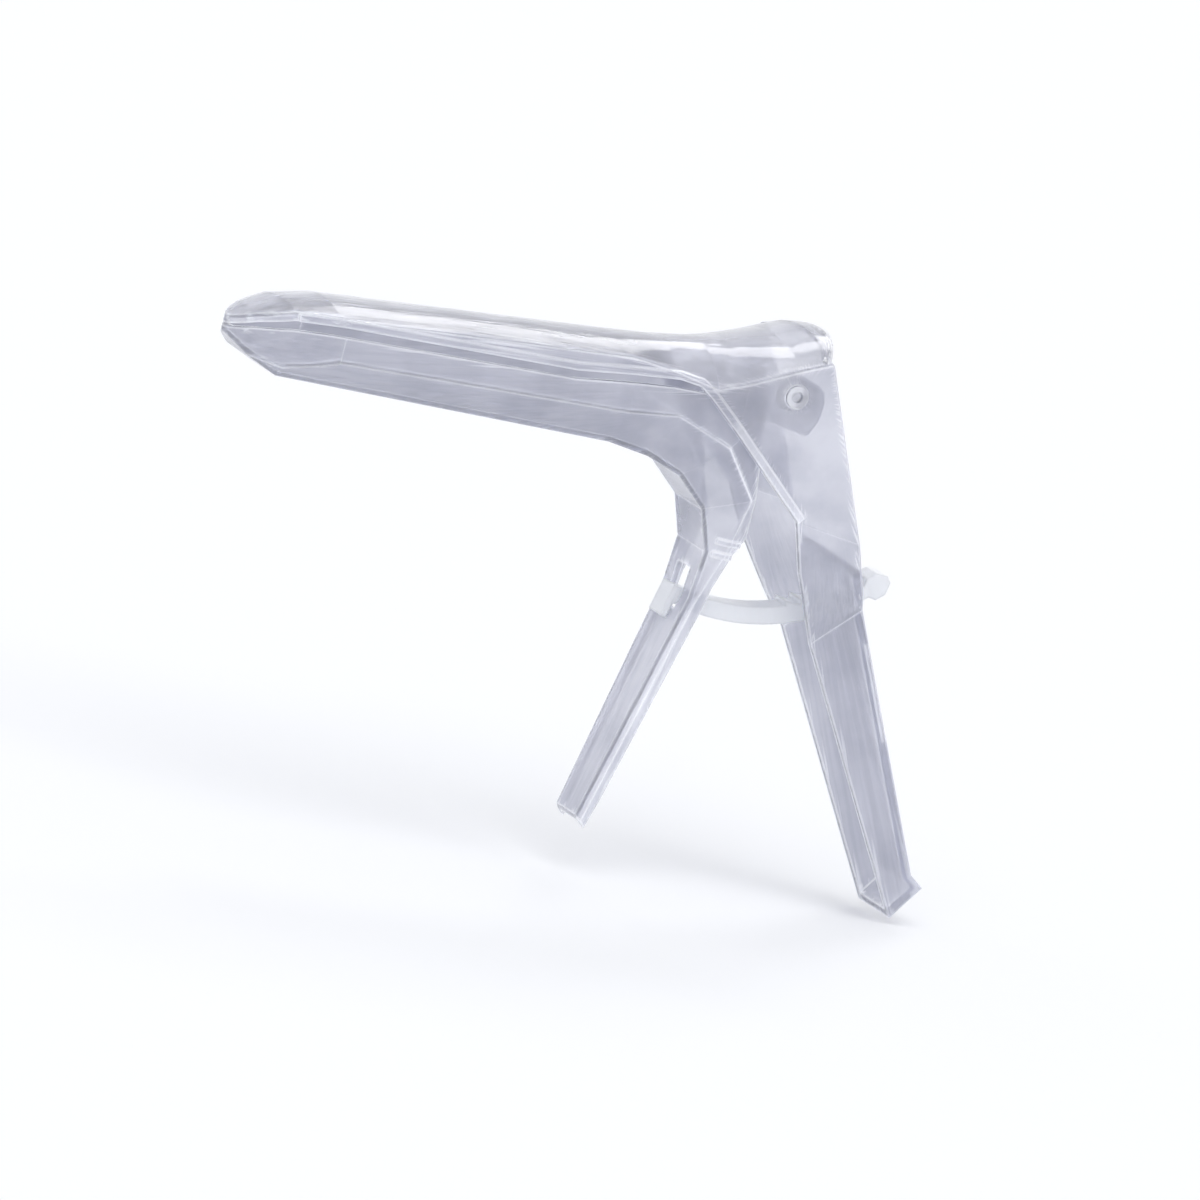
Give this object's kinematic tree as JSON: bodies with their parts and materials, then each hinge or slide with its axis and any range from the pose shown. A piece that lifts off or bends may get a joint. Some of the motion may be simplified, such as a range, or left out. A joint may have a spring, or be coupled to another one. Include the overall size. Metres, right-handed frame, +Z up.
{
  "type": "bivalve speculum",
  "caption": "Disposable clear plastic bivalve speculum with two hinged duckbill valves, handles that close on each other, and a white toothed ratchet strip.",
  "frame": {"origin": "middle of the hinge axis, between the two pins", "axes": "+X out of the open mouth, with the blades towards -X; +Y along the hinge axis; +Z up, with the handles hanging towards -Z"},
  "size_m": [0.2008, 0.0396, 0.1299],
  "materials": {
    "clear_plastic": "polished",
    "pin_plastic": "polished",
    "white_plastic": "satin"
  },
  "bodies": {
    "upper": {"upper_valve": "clear_plastic", "hinge_pin_near": "pin_plastic", "hinge_pin_far": "pin_plastic"},
    "lower": {"lower_valve": "clear_plastic"},
    "ratchet": {"ratchet_strip": "white_plastic"}
  },
  "joints": [
    {"name": "valve_hinge", "type": "hinge", "parent": "upper", "child": "lower", "pos_m": [0, 0, 0], "axis": [0, -1, 0], "range_deg": [0, 24]},
    {"name": "ratchet_pivot", "type": "hinge", "parent": "lower", "child": "ratchet", "pos_m": [-0.00917, 0, -0.05503], "axis": [0, -1, 0], "range_deg": [0, 7]}
  ]
}
